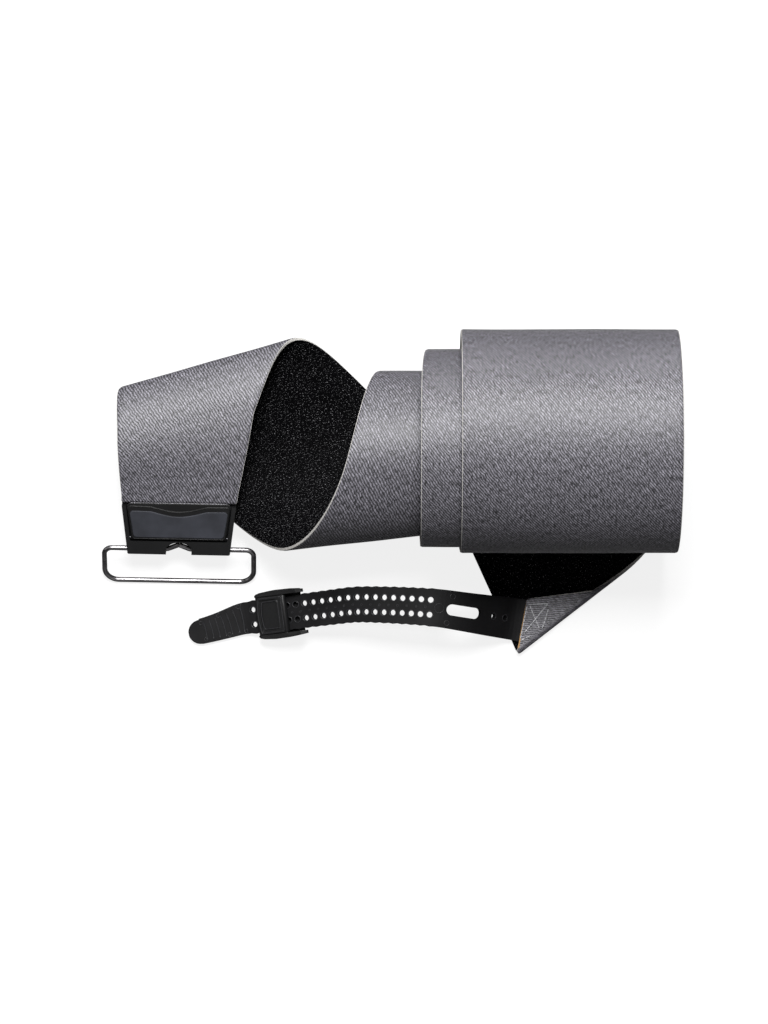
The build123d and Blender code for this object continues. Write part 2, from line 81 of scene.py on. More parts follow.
# ---- tip of the strip and its clip ----
CLIP_MOUTH = (-129.5, -6.0)
CLIP_YAW = radians(-1.1)
CLIP_SLOPE = radians(18.0)
TIP_CURVE = 93.0
TIP_STEPS = 10
TIP_HALF_WIDTH = 36.0
POCKET_HALF_WIDTH = 30.0
POCKET_START = 1.2           # the strip has narrowed this far inside the mouth
POCKET_REACH = 17.0
CLIP_BACK_HALF = 36.3        # the clip's plan is a trapezium
CLIP_SLANT = 0.1168          # its half width changes by this much per millimetre towards the front

# ---- clip lid, in the clip's own frame ----
LID_AXIS = (-22.4, 3.5)
LID_EDGE = 3.4               # the lid's sides are this far inside the clip's
LID_BACK = 0.1
LID_FRONT = -23.5
LID_BOTTOM = 2.5
LID_LIP = 3.9                # the lid's lower half runs on behind the finger notch, up to here
LID_TOP = 4.9
LID_HUB = 1.45
PANEL_TOP = 5.4
RIM_REAR = 1.0               # the rim stays this much further in at the back
PANEL_REAR = 2.9             # and the slate panel this much
NOTCH_DIP = 3.6              # depth of the curved finger notch in the lid's back edge
NOTCH_HALF = 19.0
NOTCH_STEPS = 32
NOTCH_FLATNESS = 0.6         # below 1, the middle of the notch is flatter than a cosine
BEAD = 0.28                  # thin raised bead round the lid
BEAD_INSET = 0.7
# Sections of the lid's steps, from the bottom up: (inset, corner radius, height).
LID_PLATE = ((0.3, 2.0, LID_BOTTOM), (0, 2.2, LID_BOTTOM + 0.4), (0, 2.2, LID_LIP - 0.2), (0.2, 2.2, LID_LIP))
LID_RIM = ((0.2, 2.4, LID_LIP - 0.1), (0.2, 2.4, LID_TOP - 0.3), (0.5, 2.2, LID_TOP))
LID_PANEL = ((1.5, 2.4, LID_TOP - 0.2), (1.5, 2.4, PANEL_TOP - 0.35), (1.65, 2.4, PANEL_TOP - 0.12),
             (2.0, 2.2, PANEL_TOP))

# ---- strap ----
STRAP_START = (106.0, -84.0)
STRAP_LENGTH = 248.7
STRAP_HALF_THICK = 1.4
STRAP_MIDDLE = (GROUND_BOND + FLAP_BOND) / 2
STRAP_HEADING = ((0, 9), (18, 9), (70, 9.5), (92, 4), (112, 2), (128, 0.5), (146, -7.6), (208, -7.6),
                 (218, -19), (230, -17), (248.7, -9))
STRAP_SLOPE = ((0, 0), (18, 0), (33, 42.0), (51.8, 42.0), (88.5, 0), (138, -18.6), (206, -18.6), (218, 0),
               (248.7, 0))
HOLE_PITCH = 5.85
HOLE_PAIRS = 21
FIRST_PAIR = 86.5
HOLE_IN_PITCH = 0.25         # where a pair of holes sits in its pitch
HOLE_RADIUS = 1.75
HOLE_SPREAD = 4.7
SINGLE_HOLES = (31.5, 41.5)
RIM_WIRE = 0.3               # moulded lip round each hole
DIMPLES = HOLE_PAIRS - 5     # small rings down the middle, between the pairs of holes
DIMPLE_IN_PITCH = 0.75
DIMPLE_RADIUS = 0.6
DIMPLE_WIRE = 0.12
RIDGE_WIRE = 0.36
RIDGE_BOW = 0.5
# Grip ridges on the free end: (distance along the strap, half length).
RIDGES = ((212.5, 8.6), (217.0, 8.2), (221.5, 7.8), (225.5, 7.4), (229.5, 7.0), (233.5, 6.6), (237.5, 6.0))
MARK_WIRE = 0.16
# Round moulding marks: (distance along the strap, distance to its side, radius).
MOULD_MARKS = ((82.4, 0.0, 2.9), (75.0, 8.4, 1.6), (76.5, -8.6, 1.6), (213.5, 8.1, 1.2), (227.0, 6.9, 1.2),
               (239.5, 5.2, 1.2), (211.5, -8.2, 1.2), (224.0, -6.9, 1.2), (238.5, -5.6, 1.2))

# ---- buckle lever ----
LEVER_START = 201.0          # its free end, along the strap
LEVER_LENGTH = 18.0
LEVER_HALF = 11.8
LEVER_TOP = 5.9
LEVER_BOW = 1.2
LEVER_BEADS = ((0.9, LEVER_TOP), (3.2, LEVER_TOP - 0.1))   # (inset from the lever's edge, height)
LONG_SIDE = 4.0              # sides of a bead's outline longer than this get extra points

# ---- stitching on the flap ----
# Rows from one point to another, each as (distance along the fold, reach back from it).
STITCHES = (((25.0, 21.5), (35.0, 14.5)), ((35.0, 14.5), (12.0, 9.0)), ((25.0, 20.5), (21.0, 5.5)),
            ((33.0, 11.5), (22.5, 4.2)), ((23.0, 21.0), (7.5, 7.5)), ((7.5, 6.4), (14.5, 5.0)))
THREAD = 0.36
STITCH_LENGTH = 2.1
STITCH_GAP = 0.3
STITCH_RISE = 0.12

# ---- camera and light, in metres ----
CAMERA = (-0.00185, -0.01142, 3.0)   # straight above, on a long lens
LENS = 165.3
SENSOR = 36
KEY_LEAN = radians(27.0)     # the main light leans this far from overhead, to the back of the roll
KEY_DISTANCE = 2.4
# Area lamps: (name, place, size, power).
LAMPS = (("key", (0.0, KEY_DISTANCE * sin(KEY_LEAN), KEY_DISTANCE * cos(KEY_LEAN)), 0.9, 74.0),
         ("rim", (0.0, 2.2, 0.45), 1.2, 18.0),
         ("side", (-2.0, 0.2, 1.2), 1.0, 4.0),
         ("front", (0.3, -2.0, 1.7), 1.5, 4.0))
WORLD = 0.05
FLOOR_HALF = 3.0
FLOOR_GLOW = 0.84            # the camera sees this much light of the floor's own
FLOOR_LIT = 0.22             # and this much of what falls on it
FLOOR_BOUNCE = 0.10          # the object gets only this much back

# ---- shape of the coil: (turn, value) stations ----
CENTRE_X = ((0, 115.5), (0.75, 115.0), (1.4, 90.5), (1.8, 90.0), (2.25, 66.0), (2.5, 48.0), (2.75, 8.0),
            (3, -58.0), (3.25, -99.0), (3.5, -125.0))
CENTRE_Y = ((0, 33.3), (0.75, 31.5), (1.25, 28.5), (1.75, 26.6), (2.25, 24.6), (2.75, 23.5), (3, 34.0),
            (3.25, 45.6), (3.5, 41.2))
DEPTH = ((0, 67.6), (0.75, 67.6), (1.25, 59.6), (1.75, 59.1), (2.25, 50.2), (2.75, 50.2), (3, 45.0),
         (3.25, 37.4), (3.5, 38.0))
HEIGHT = ((0, 67.8), (0.75, 67.0), (1.25, 60.0), (1.75, 58.0), (2.25, 50.5), (2.75, 43.5), (3, 29.5),
          (3.25, 18.3), (3.5, 18.0))
BOTTOM = ((0, GROUND_BOND), (1, 5.4), (2, 11.0), (2.75, 12.5), (3, 10.4), (3.25, 2.5), (3.5, 1.8))
LEAN = ((0, 0), (2.25, 0), (2.5, 3.0), (2.75, 6.5), (3, 11.0), (3.25, 15.8), (3.5, 12.0))
SIDE_TILT = ((0, 0), (2.5, 0), (3, 5.0), (3.25, 1.0), (3.5, 0))
LEFT = ((0, HALF_WIDTH), (2, HALF_WIDTH), (2.25, 69.5), (2.5, 71.0), (2.75, 77.0), (3, 76.0), (3.25, 58.0),
        (3.5, 44.0))
RIGHT = ((0, HALF_WIDTH), (2, HALF_WIDTH), (2.25, 69.5), (2.5, 71.0), (2.75, 78.0), (3, 66.0), (3.12, 60.0),
         (3.25, 57.5), (3.5, 44.0))


def place(point):
    """Row-frame point in metres."""
    return (Vector(point) + ORIGIN_SHIFT) / 1000


def along(track, turn):
    """Value of a track at this turn: a smooth curve that never overshoots its stations."""
    slopes = [(b[1] - a[1]) / (b[0] - a[0]) for a, b in zip(track, track[1:])]
    tangents = [slopes[0]]
    for before, after in zip(slopes, slopes[1:]):
        tangents.append(2 * before * after / (before + after) if before * after > 0 else 0.0)
    tangents.append(slopes[-1])
    i = 0
    while i < len(slopes) - 1 and turn > track[i + 1][0]:
        i += 1
    (start, low), (end, high) = track[i], track[i + 1]
    step = end - start
    u = (turn - start) / step
    rise = 3 * u ** 2 - 2 * u ** 3
    leave = (u ** 3 - 2 * u ** 2 + u) * step * tangents[i]
    arrive = (u ** 3 - u ** 2) * step * tangents[i + 1]
    return low + rise * (high - low) + leave + arrive


# ---- path of the strip ----
def coil_ruling(turn):
    """Left and right ends of the straight line across the strip at this turn."""
    lean = radians(along(LEAN, turn))
    across = Vector((cos(lean), sin(lean), tan(radians(along(SIDE_TILT, turn)))))
    backward = Vector((-sin(lean), cos(lean), 0))
    angle = 2 * pi * turn
    height = along(HEIGHT, turn)
    middle = Vector((along(CENTRE_X, turn), along(CENTRE_Y, turn), along(BOTTOM, turn) + height))
    middle += backward * (along(DEPTH, turn) * sin(angle)) - Vector((0, 0, height * cos(angle)))
    return middle - across * along(LEFT, turn), middle + across * along(RIGHT, turn)


def flap_point(reach, distance, height):
    """Point given by its distance along the tail's fold line and its reach back from it."""
    x = FOLD_START[0] + distance * cos(FOLD_TURN) - reach * sin(FOLD_TURN)
    y = FOLD_START[1] + distance * sin(FOLD_TURN) + reach * cos(FOLD_TURN)
    return Vector((x, y, height))


def tail_rulings():
    """Flap, fold and the stretch that runs under the roll, from the tail end inwards."""
    rulings = []
    for step in range(FLAP_STEPS + 1):
        reach = FLAP_REACH + (FOLD_INSET - FLAP_REACH) * step / FLAP_STEPS
        left = max(FLAP_CORNER - FLAP_SLANT_LEFT * (FLAP_REACH - reach), FOLD_LEFT)
        right = FLAP_CORNER + FLAP_END + FLAP_SLANT_RIGHT * (FLAP_REACH - reach)
        rulings.append((flap_point(reach, left, FLAP_BOND), flap_point(reach, right, FLAP_BOND)))
    last_right = FLAP_CORNER + FLAP_END + FLAP_SLANT_RIGHT * (FLAP_REACH - FOLD_INSET)
    radius = (FLAP_BOND - GROUND_BOND) / 2
    for step in range(1, FOLD_STEPS + 1):
        angle = pi * step / FOLD_STEPS
        reach = FOLD_INSET - radius * sin(angle)
        height = GROUND_BOND + radius * (1 + cos(angle))
        right = last_right + (FOLD_RIGHT - last_right) * step / FOLD_STEPS
        rulings.append((flap_point(reach, FOLD_LEFT, height), flap_point(reach, right, height)))
    for left, right in zip(TAIL_LEFT, TAIL_RIGHT):
        rulings.append((Vector((*left, GROUND_BOND)), Vector((*right, GROUND_BOND))))
    return rulings


def loop_top():
    """Middle of the strip at the top of the loose loop."""
    left, right = coil_ruling(COIL_TURNS)
    return (left + right) * 0.5


def tip_height(distance):
    """Height of the bond line this far from the top of the loop: a bend, then a straight slope."""
    slope = tan(CLIP_SLOPE)
    curved = min(distance, TIP_CURVE * slope)
    return loop_top().z - curved ** 2 / (2 * TIP_CURVE) - (distance - curved) * slope


def clip_axes():
    """Origin and x, y, z directions of the tip clip."""
    top = loop_top()
    mouth_height = tip_height(hypot(CLIP_MOUTH[0] - top.x, CLIP_MOUTH[1] - top.y))
    x_dir = Vector((cos(CLIP_YAW), sin(CLIP_YAW), 0))
    z_dir = Vector((sin(CLIP_YAW) * sin(CLIP_SLOPE), -cos(CLIP_YAW) * sin(CLIP_SLOPE), cos(CLIP_SLOPE)))
    return Vector((*CLIP_MOUTH, mouth_height)), x_dir, z_dir.cross(x_dir), z_dir


def in_clip(x, y, z):
    """Point given in the clip's own frame."""
    origin, x_dir, y_dir, z_dir = clip_axes()
    return origin + x_dir * x + y_dir * y + z_dir * z


def tip_rulings():
    """From the top of the loose loop down into the pocket of the clip."""
    top = loop_top()
    mouth = in_clip(0, 0, 0)
    run = hypot(mouth.x - top.x, mouth.y - top.y)
    lean_start = along(LEAN, COIL_TURNS)
    half_start = along(LEFT, COIL_TURNS)
    rulings = []
    for step in range(1, TIP_STEPS + 1):
        share = step / TIP_STEPS
        lean = radians(lean_start) * (1 - share) + CLIP_YAW * share
        half = half_start + (TIP_HALF_WIDTH - half_start) * share
        across = Vector((cos(lean), sin(lean), 0)) * half
        middle = top + (mouth - top) * share
        middle.z = tip_height(run * share)
        rulings.append((middle - across, middle + across))
    for reach in (POCKET_START, POCKET_REACH):
        rulings.append((in_clip(-POCKET_HALF_WIDTH, -reach, 0), in_clip(POCKET_HALF_WIDTH, -reach, 0)))
    return rulings


def between(a, b, c, d, u):
    """Point on the smooth curve from b to c."""
    return 0.5 * (2 * b + (c - a) * u + (2 * a - 5 * b + 4 * c - d) * u ** 2
                  + (3 * b - a - 3 * c + d) * u ** 3)


def fine_rulings():
    """The whole strip's rulings with more between them: straight in the tail, smooth from the coil on."""
    count = round(COIL_TURNS * STEPS_PER_TURN)
    tail = tail_rulings()
    coil = [coil_ruling(step / STEPS_PER_TURN) for step in range(count + 1)]
    rulings = tail + coil + tip_rulings()
    fine = []
    for i in range(len(rulings) - 1):
        before = rulings[max(i - 1, 0)]
        after = rulings[min(i + 2, len(rulings) - 1)]
        curved = i >= len(tail) - 1
        for step in range(FINER):
            u = step / FINER
            ends = []
            for side in (0, 1):
                a, b, c, d = before[side], rulings[i][side], rulings[i + 1][side], after[side]
                ends.append(between(a, b, c, d, u) if curved else b + (c - b) * u)
            fine.append(tuple(ends))
    fine.append(rulings[-1])
    return fine


# ---- mesh of the strip ----
def width_share(j):
    """Share of the width at point j of a ruling, the points being closer together near the edges."""
    return 0.5 - 0.5 * cos(pi * j / ACROSS)


def strip_vertices(rulings):
    """Points of every ruling, outer face then inner face, and the ruling's distance from the tail end."""
    middles = [(left + right) * 0.5 for left, right in rulings]
    last = len(rulings) - 1
    vertices = []
    distances = []
    travelled = 0.0
    for i, (left, right) in enumerate(rulings):
        if i:
            travelled += (middles[i] - middles[i - 1]).length
        distances.append(travelled)
        travel = middles[min(i + 1, last)] - middles[max(i - 1, 0)]
        outward = travel.cross(right - left).normalized()
        width = (right - left).length
        ripple = RIPPLE * min(1.0, i / RIPPLE_FROM_TAIL, (last - i) / RIPPLE_TO_TIP)
        for layer in (PLUSH_OUT, -GLUE_IN):
            for j in range(ACROSS + 1):
                share = width_share(j)
                point = left.lerp(right, share)
                lift = layer + ripple * noise.noise((point + RIPPLE_SHIFT) / RIPPLE_SIZE)
                if layer > 0:
                    edge = min(share, 1 - share) * width
                    lift -= EDGE_ROUND * max(0.0, 1 - edge / EDGE_BAND) ** 2
                spot = point + outward * lift
                spot.z = max(spot.z, GROUND)
                vertices.append(place(spot))
    return vertices, distances


def strip_faces(last):
    """Faces of the closed ribbon from ruling 0 to the last, and the kind of material on each."""
    faces = []
    kinds = []
    for i in range(last):
        a, b = i * ROW, (i + 1) * ROW
        on_flap = i < FLAP_STEPS * FINER
        band = FLAP_BAND if on_flap else 1
        left_edge = END_EDGE if on_flap else CUT_EDGE
        for j in range(ACROSS):
            k = ACROSS + 1 + j
            faces.append((a + j, b + j, b + j + 1, a + j + 1))
            kinds.append(left_edge if j < band else CUT_EDGE if j >= ACROSS - band else PLUSH)
            faces.append((a + k, a + k + 1, b + k + 1, b + k))
            kinds.append(GLUE)
        for j in (0, ACROSS):
            k = ACROSS + 1 + j
            side = (a + j, a + k, b + k, b + j)
            faces.append(side if j == 0 else side[::-1])
            kinds.append(CUT_EDGE)
    for base in (0, last * ROW):
        for j in range(ACROSS):
            k = ACROSS + 1 + j
            end = (base + j, base + j + 1, base + k + 1, base + k)
            faces.append(end if base == 0 else end[::-1])
            kinds.append(END_EDGE if base == 0 else CUT_EDGE)
    return faces, kinds


def build_strip():
    """Closed ribbon: plush outside, glue inside, cut edges between them, measured out in its UV map."""
    rulings = fine_rulings()
    vertices, distances = strip_vertices(rulings)
    faces, kinds = strip_faces(len(rulings) - 1)
    mesh = bpy.data.meshes.new("skin_strip")
    mesh.from_pydata(vertices, [], faces)
    uv = mesh.uv_layers.new(name="flat")
    for polygon, kind in zip(mesh.polygons, kinds):
        polygon.material_index = kind
        polygon.use_smooth = kind in (PLUSH, GLUE)
    for loop in mesh.loops:
        i, rest = divmod(loop.vertex_index, ROW)
        left, right = rulings[i]
        share = width_share(rest % (ACROSS + 1))
        uv.data[loop.index].uv = ((share - 0.5) * (right - left).length, distances[i])
    mesh.update()
    strip = bpy.data.objects.new("skin_strip", mesh)
    bpy.context.scene.collection.objects.link(strip)
    return strip


# ---- small pieces ----
def link_mesh(name, vertices, faces, material, body, smooth=True):
    """New piece from points in the row frame."""
    mesh = bpy.data.meshes.new(name)
    mesh.from_pydata(vertices, [], faces)
    mesh.update()
    for polygon in mesh.polygons:
        polygon.use_smooth = smooth
    mesh.materials.append(material)
    piece = bpy.data.objects.new(name, mesh)
    bpy.context.scene.collection.objects.link(piece)
    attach(piece, body)
    return piece


def tube(points, radius, sides, vertices, faces, closed=False):
    """Adds a tube along the points, given in millimetres, to lists of vertices and faces."""
    start = len(vertices)
    count = len(points)
    for i, point in enumerate(points):
        if closed:
            direction = points[(i + 1) % count] - points[i - 1]
        else:
            direction = points[min(i + 1, count - 1)] - points[max(i - 1, 0)]
        side = direction.cross(Vector((0, 0, 1))).normalized()
        up = side.cross(direction).normalized()
        for k in range(sides):
            angle = 2 * pi * k / sides
            vertices.append(place(point + side * (radius * cos(angle)) + up * (radius * sin(angle))))
    rings = count if closed else count - 1
    for i in range(rings):
        a = start + i * sides
        b = start + ((i + 1) % count) * sides
        for k in range(sides):
            m = (k + 1) % sides
            faces.append((a + k, a + m, b + m, b + k))
    if not closed:
        faces.append(tuple(range(start, start + sides)))
        end = start + (count - 1) * sides
        faces.append(tuple(reversed(range(end, end + sides))))


def strap_stations():
    """Points down the middle of the strap with their forward, side and upward directions."""
    step = HOLE_PITCH / 2
    point = Vector((*STRAP_START, STRAP_MIDDLE))
    stations = []
    for i in range(int(STRAP_LENGTH / step) + 1):
        at = i * step
        half_way = min(at + step / 2, STRAP_LENGTH)
        heading = radians(along(STRAP_HEADING, half_way))
        slope = radians(along(STRAP_SLOPE, half_way))
        forward = Vector((-cos(heading) * cos(slope), sin(heading) * cos(slope), sin(slope)))
        side = Vector((sin(heading), cos(heading), 0))
        stations.append((at, point, forward, side, side.cross(forward)))
        point = point + forward * step
    return stations


STATIONS = strap_stations()


def on_strap(at, side_way, height):
    """Point on the strap: distance along it, distance to its side and height over its middle."""
    place_at, point, forward, side, up = max((s for s in STATIONS if s[0] <= at), key=lambda s: s[0])
    return point + forward * (at - place_at) + side * side_way + up * height


def strap_ring(at, side_way, radius, count):
    """Circle of points on the strap's top face."""
    ring = []
    for k in range(count):
        angle = 2 * pi * k / count
        ring.append(on_strap(at + radius * cos(angle), side_way + radius * sin(angle), STRAP_HALF_THICK))
    return ring


def build_hole_rims(material):
    """Moulded lips round the holes of the strap."""
    vertices, faces = [], []
    holes = [(FIRST_PAIR + HOLE_PITCH * (pair + HOLE_IN_PITCH), side_way)
             for pair in range(HOLE_PAIRS) for side_way in (-HOLE_SPREAD, HOLE_SPREAD)]
    holes += [(at, 0.0) for at in SINGLE_HOLES]
    for at, side_way in holes:
        ring = strap_ring(at, side_way, HOLE_RADIUS + RIM_WIRE, 20)
        tube(ring, RIM_WIRE, 6, vertices, faces, closed=True)
    return link_mesh("hole_rims", vertices, faces, material, "root")


def build_strap_marks(material):
    """Grip ridges on the free end, round moulding marks and dimples down the middle."""
    vertices, faces = [], []
    for at, half in RIDGES:
        line = [on_strap(at + RIDGE_BOW * (s / 6) ** 2, half * s / 6, STRAP_HALF_THICK) for s in range(-6, 7)]
        tube(line, RIDGE_WIRE, 6, vertices, faces)
    for at, side_way, radius in MOULD_MARKS:
        tube(strap_ring(at, side_way, radius, 20), MARK_WIRE, 6, vertices, faces, closed=True)
    for pair in range(DIMPLES):
        at = FIRST_PAIR + HOLE_PITCH * (pair + DIMPLE_IN_PITCH)
        tube(strap_ring(at, 0.0, DIMPLE_RADIUS, 12), DIMPLE_WIRE, 5, vertices, faces, closed=True)
    return link_mesh("strap_marks", vertices, faces, material, "root")


def build_stitches(material):
    """Rows of short thread arcs that sew the strap to the flap."""
    vertices, faces = [], []
    height = FLAP_BOND + PLUSH_OUT
    for start, end in STITCHES:
        first = flap_point(start[1], start[0], height)
        line = flap_point(end[1], end[0], height) - first
        count = int(line.length / (STITCH_LENGTH + STITCH_GAP))
        for i in range(count):
            begin = first + line * (i / count)
            finish = begin + line.normalized() * STITCH_LENGTH
            points = []
            for s in range(7):
                lift = THREAD + STITCH_RISE * sin(pi * s / 6)
                points.append(begin.lerp(finish, s / 6) + Vector((0, 0, lift)))
            tube(points, THREAD, 6, vertices, faces)
    return link_mesh("stitches", vertices, faces, material, "root")


def build_lever_beads(material):
    """Raised beads round the buckle's lever and round its sunken panel."""
    vertices, faces = [], []
    for inset, height in LEVER_BEADS:
        left, right = inset, LEVER_LENGTH - inset
        half = LEVER_HALF - inset
        corners = [(left + LEVER_BOW * (s / 8) ** 2, half * s / 8) for s in range(-8, 9)]
        corners += [(right, half), (right, -half)]
        ring = []
        for (x, y), (next_x, next_y) in zip(corners, corners[1:] + corners[:1]):
            steps = 8 if hypot(next_x - x, next_y - y) > LONG_SIDE else 1
            for s in range(steps):
                u = s / steps
                ring.append(on_strap(LEVER_START - x - (next_x - x) * u, y + (next_y - y) * u, height))
        tube(ring, BEAD, 6, vertices, faces, closed=True)
    return link_mesh("lever_beads", vertices, faces, material, "lever")


# ---- clip lid ----
def lid_outline(inset, corner, dip, rear):
    """Plan of the lid with rounded corners and a curved finger notch, in the clip's frame."""
    back = LID_BACK - inset - rear
    front = LID_FRONT + inset
    wide, narrow = (CLIP_BACK_HALF - LID_EDGE - inset + CLIP_SLANT * y for y in (back, front))
    middles = ((-narrow + corner, front + corner, pi), (narrow - corner, front + corner, 1.5 * pi),
               (wide - corner, back - corner, 0.0), (-wide + corner, back - corner, 0.5 * pi))
    points = []
    for number, (x, y, start) in enumerate(middles):
        if number == 3:
            for k in range(1, NOTCH_STEPS):
                across = NOTCH_HALF - 2 * NOTCH_HALF * k / NOTCH_STEPS
                depth = dip * (0.5 + 0.5 * cos(pi * across / NOTCH_HALF)) ** NOTCH_FLATNESS
                points.append((across, back - depth))
        for k in range(7):
            angle = start + pi / 2 * k / 6
            points.append((x + corner * cos(angle), y + corner * sin(angle)))
    return points


def stack(name, rings, material, body):
    """Closed piece from plan outlines at rising heights, in the clip's frame."""
    vertices, faces = [], []
    count = len(rings[0][0])
    for outline, height in rings:
        for x, y in outline:
            vertices.append(place(in_clip(x, y, height)))
    for i in range(len(rings) - 1):
        for k in range(count):
            m = (k + 1) % count
            faces.append((i * count + k, i * count + m, (i + 1) * count + m, (i + 1) * count + k))
    faces.append(tuple(reversed(range(count))))
    top = (len(rings) - 1) * count
    faces.append(tuple(range(top, top + count)))
    return link_mesh(name, vertices, faces, material, body, smooth=False)


def build_lid(rim_material, panel_material):
    """Black clamp plate and rim, a raised slate panel inside it, a thin bead and the hinge hub."""
    steps = (("lid_plate", LID_PLATE, 0, 0, rim_material),
             ("lid_rim", LID_RIM, NOTCH_DIP, RIM_REAR, rim_material),
             ("lid_panel", LID_PANEL, NOTCH_DIP, PANEL_REAR, panel_material))
    pieces = []
    for name, sections, dip, rear, material in steps:
        rings = [(lid_outline(inset, corner, dip, rear), height) for inset, corner, height in sections]
        pieces.append(stack(name, rings, material, "lid"))
    vertices, faces = [], []
    ring = [in_clip(x, y, LID_TOP) for x, y in lid_outline(BEAD_INSET, 2.2, NOTCH_DIP, RIM_REAR)]
    tube(ring, BEAD, 6, vertices, faces, closed=True)
    pieces.append(link_mesh("lid_bead", vertices, faces, rim_material, "lid"))
    y, z = LID_AXIS
    half = CLIP_BACK_HALF - LID_EDGE + CLIP_SLANT * y
    vertices, faces = [], []
    tube([in_clip(half * s / 2, y, z) for s in range(-2, 3)], LID_HUB, 16, vertices, faces)
    pieces.append(link_mesh("lid_hub", vertices, faces, rim_material, "lid"))
    return pieces


# ---- materials ----
def new_material(name):
    """Material with its node list, links and shader."""
    material = bpy.data.materials.new(name)
    material.use_nodes = True
    tree = material.node_tree
    return material, tree.nodes, tree.links, tree.nodes["Principled BSDF"]


def add(nodes, kind, **values):
    """New node, with named properties and inputs set."""
    node = nodes.new("ShaderNode" + kind)
    for name, value in values.items():
        if name in node.inputs:
            node.inputs[name].default_value = value
        else:
            setattr(node, name, value)
    return node


def ramp(nodes, links, source, stops):
    """Colour ramp driven by a socket; its two stops are (position, grey or colour)."""
    node = nodes.new("ShaderNodeValToRGB")
    for element, (position, colour) in zip(node.color_ramp.elements, stops):
        element.position = position
        element.color = (*colour, 1) if isinstance(colour, tuple) else (colour, colour, colour, 1)
    links.new(source, node.inputs["Fac"])
    return node


def bump(nodes, links, shader, source, strength, distance):
    """Bump from a height socket."""
    node = add(nodes, "Bump", Strength=strength, Distance=distance)
    links.new(source, node.inputs["Height"])
    links.new(node.outputs["Normal"], shader.inputs["Normal"])


def multiply(nodes, links, first, second):
    """Product of two colour sockets."""
    node = nodes.new("ShaderNodeMix")
    node.data_type = "RGBA"
    node.blend_type = "MULTIPLY"
    node.inputs["Factor"].default_value = 1.0
    links.new(first, node.inputs["A"])
    links.new(second, node.inputs["B"])
    return node.outputs["Result"]


def plush_material():
    """Grey short-pile plush: diagonal twill, mottled yarns, faint patches of painted sheen where the nap lies
    differently, and a soft nap sheen.
    """
    material, nodes, links, shader = new_material("plush")
    uv = add(nodes, "UVMap", uv_map="flat")
    turn = add(nodes, "Mapping")
    turn.inputs["Rotation"].default_value = (0, 0, radians(38))
    links.new(uv.outputs["UV"], turn.inputs["Vector"])
    twill = add(nodes, "TexWave", Scale=0.215, Distortion=4.5, Detail=3.0)
    twill.inputs["Detail Scale"].default_value = 0.9
    links.new(turn.outputs["Vector"], twill.inputs["Vector"])
    yarn_map = add(nodes, "Mapping")
    yarn_map.inputs["Scale"].default_value = (1.5, 0.55, 1)
    links.new(uv.outputs["UV"], yarn_map.inputs["Vector"])
    yarn = add(nodes, "TexNoise", Scale=0.48, Detail=5.0, Roughness=0.78)
    links.new(yarn_map.outputs["Vector"], yarn.inputs["Vector"])
    # Faint lighter and darker patches in the colour: painted sheen of the nap lying in different directions
    patch = add(nodes, "TexNoise", Scale=0.018, Detail=3.0)
    links.new(uv.outputs["UV"], patch.inputs["Vector"])
    yarn_colour = ramp(nodes, links, yarn.outputs["Fac"],
                       [(0.38, (0.016, 0.015, 0.020)), (0.64, (0.315, 0.303, 0.350))])
    twill_colour = ramp(nodes, links, twill.outputs["Fac"], [(0.1, 0.22), (0.9, 1.30)])
    patch_colour = ramp(nodes, links, patch.outputs["Fac"], [(0.3, 0.90), (0.7, 1.06)])
    woven = multiply(nodes, links, yarn_colour.outputs["Color"], twill_colour.outputs["Color"])
    woven_sheen_patched = multiply(nodes, links, woven, patch_colour.outputs["Color"])
    links.new(woven_sheen_patched, shader.inputs["Base Color"])
    shader.inputs["Roughness"].default_value = 0.51
    shader.inputs["Specular IOR Level"].default_value = 0.95
    shader.inputs["Sheen Weight"].default_value = 0.80
    shader.inputs["Sheen Roughness"].default_value = 0.22
    bump(nodes, links, shader, twill.outputs["Fac"], 0.35, 0.0004)
    return material


def glue_material():
    """Tacky black coat; its fine pale specks are painted glints of the glue's sparkle, where the glue is also
    less rough.
    """
    material, nodes, links, shader = new_material("glue")
    uv = add(nodes, "UVMap", uv_map="flat")
    specks = add(nodes, "TexNoise", Scale=1.15, Detail=2.0, Roughness=0.6)
    links.new(uv.outputs["UV"], specks.inputs["Vector"])
    cloud = add(nodes, "TexNoise", Scale=0.05, Detail=3.0)
    links.new(uv.outputs["UV"], cloud.inputs["Vector"])
    # Pale specks in the colour: painted glints of the glue's sparkle, bright even where the roll shades the
    # tail
    colour = ramp(nodes, links, specks.outputs["Fac"],
                  [(0.60, (0.0010, 0.0009, 0.0013)), (0.74, (0.22, 0.22, 0.23))])
    shade = ramp(nodes, links, cloud.outputs["Fac"], [(0.3, 0.75), (0.7, 1.2)])
    mixed = multiply(nodes, links, colour.outputs["Color"], shade.outputs["Color"])
    links.new(mixed, shader.inputs["Base Color"])
    rough = ramp(nodes, links, specks.outputs["Fac"], [(0.4, 0.62), (0.75, 0.42)])
    links.new(rough.outputs["Color"], shader.inputs["Roughness"])
    shader.inputs["Specular IOR Level"].default_value = 0.02
    bump(nodes, links, shader, specks.outputs["Fac"], 0.5, 0.0003)
    return material


def edge_material(name, dark, light):
    """Cut edge of the fabric, frayed by fine noise between a dark and a light colour."""
    material, nodes, links, shader = new_material(name)
    coordinates = add(nodes, "TexCoord")
    fray = add(nodes, "TexNoise", Scale=900.0, Detail=3.0, Roughness=0.7)
    links.new(coordinates.outputs["Object"], fray.inputs["Vector"])
    colour = ramp(nodes, links, fray.outputs["Fac"], [(0.3, dark), (0.7, light)])
    links.new(colour.outputs["Color"], shader.inputs["Base Color"])
    shader.inputs["Roughness"].default_value = 0.9
    bump(nodes, links, shader, fray.outputs["Fac"], 0.6, 0.0003)
    return material


